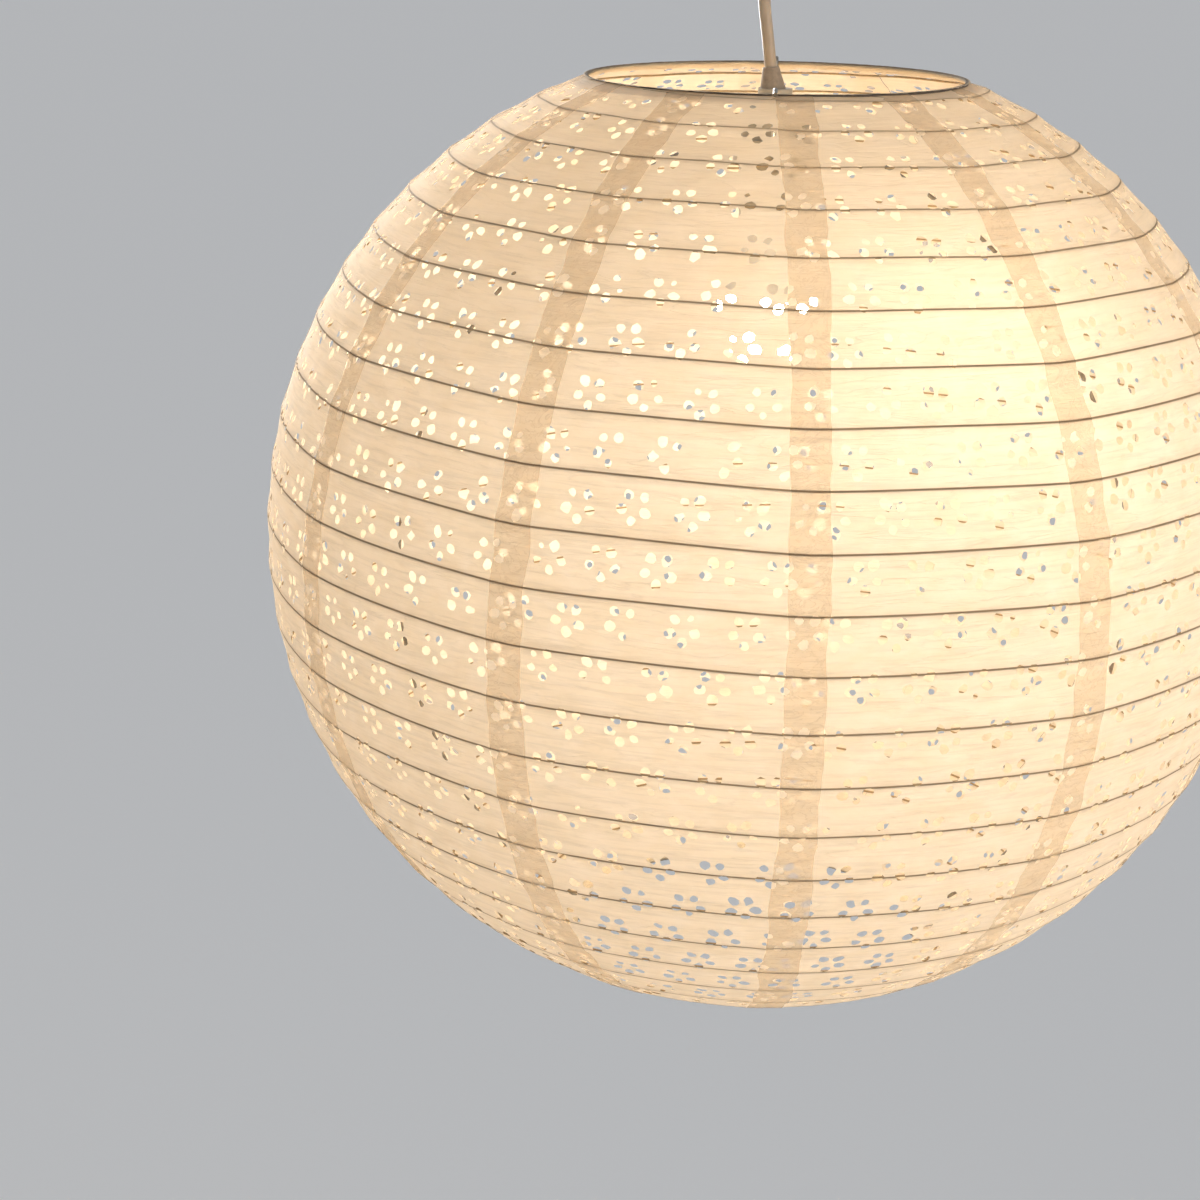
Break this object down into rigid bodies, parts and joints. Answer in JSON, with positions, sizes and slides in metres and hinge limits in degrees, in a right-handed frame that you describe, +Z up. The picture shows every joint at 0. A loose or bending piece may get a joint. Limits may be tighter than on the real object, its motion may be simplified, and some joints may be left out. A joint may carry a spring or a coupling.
{
  "type": "paper lantern",
  "caption": "Round folding paper shade with pierced flower pattern on one helical rib wire, held open by a spring-wire frame and hung on a short cord below a ceiling canopy.",
  "frame": {"origin": "middle of the bracket face that meets the ceiling", "axes": "+Z up, out of the ceiling face; -Y is the front; +X to the right seen from the front"},
  "size_m": [0.6, 0.6, 0.72],
  "materials": {
    "paper": "thin translucent mulberry paper, fine fibres and wrinkles",
    "rib_wire": "dull dark coated wire",
    "ring_wire": "dark brown coated wire",
    "frame_wire": "drawn spring wire",
    "cord_sheath": "pale beige flexible sheath",
    "relief_rubber": "matt",
    "holder_plastic": "satin thermoset",
    "ceramic": "unglazed",
    "brass": "plain",
    "block_plastic": "moulded",
    "screw_steel": "zinc plated",
    "plated_steel": "zinc plated",
    "canopy_plastic": "smooth off-white",
    "brown_lead": "insulation",
    "blue_lead": "insulation",
    "earth_lead": "insulation",
    "black_glass": "glassy",
    "lamp_cap_metal": "pressed",
    "lamp_plastic": "moulded",
    "board": "circuit board",
    "led_plate": "white lacquered",
    "led_phosphor": "phosphor",
    "lamp_diffuser": "opal diffuser"
  },
  "bodies": {
    "ceiling_fitting": {"ceiling_bracket": "plated_steel", "canopy": "canopy_plastic", "canopy_screws": "screw_steel", "cord_grip": "canopy_plastic", "grip_nut": "canopy_plastic", "grip_screw": "screw_steel", "cord_tail": "cord_sheath", "terminal_block": "block_plastic", "terminal_screws": "screw_steel", "lead_live": "brown_lead", "lead_neutral": "blue_lead", "lead_earth": "earth_lead"},
    "pendant": {"pendant_cord": "cord_sheath", "strain_relief": "relief_rubber", "holder_cap": "holder_plastic", "holder_body": "holder_plastic", "contact_insert": "ceramic", "thread_shell": "brass", "centre_contact": "brass", "spreader_top": "frame_wire", "leg_left": "frame_wire", "leg_right": "frame_wire", "top_ring": "ring_wire", "top_hem": "paper", "rib_wire": "rib_wire", "gore_01": "paper", "gore_02": "paper", "gore_03": "paper", "gore_04": "paper", "gore_05": "paper", "gore_06": "paper", "gore_07": "paper", "gore_08": "paper", "gore_09": "paper", "gore_10": "paper", "gore_11": "paper", "gore_12": "paper"},
    "shade_ring": {"shade_ring": "holder_plastic"},
    "lamp": {"lamp_tip": "brass", "lamp_insulator": "black_glass", "lamp_shell": "lamp_cap_metal", "lamp_housing": "lamp_plastic", "driver_board": "board", "led_board": "led_plate", "led_chips": "led_phosphor", "lamp_globe": "lamp_diffuser"},
    "bottom_mouth": {"bottom_ring": "ring_wire", "bottom_hem": "paper"}
  },
  "joints": [
    {"name": "pendant_swing", "type": "hinge", "parent": "ceiling_fitting", "child": "pendant", "pos_m": [0, 0, -0.0535], "axis": [0, 1, 0], "range_deg": [-15, 15]},
    {"name": "shade_fold", "type": "slide", "parent": "pendant", "child": "bottom_mouth", "axis": [0, 0, 1], "range_m": [0, 0.475], "deforming": ["gore_01", "gore_02", "gore_03", "gore_04", "gore_05", "gore_06", "gore_07", "gore_08", "gore_09", "gore_10", "gore_11", "gore_12", "rib_wire", "leg_left", "leg_right"]},
    {"name": "shade_ring_turn", "type": "hinge", "parent": "pendant", "child": "shade_ring", "pos_m": [0, 0, -0.22], "axis": [0, 0, -1], "range_deg": [0, 720]},
    {"name": "lamp_turn", "type": "hinge", "parent": "pendant", "child": "lamp", "pos_m": [0, 0, -0.3], "axis": [0, 0, -1], "range_deg": [0, 1080]}
  ]
}
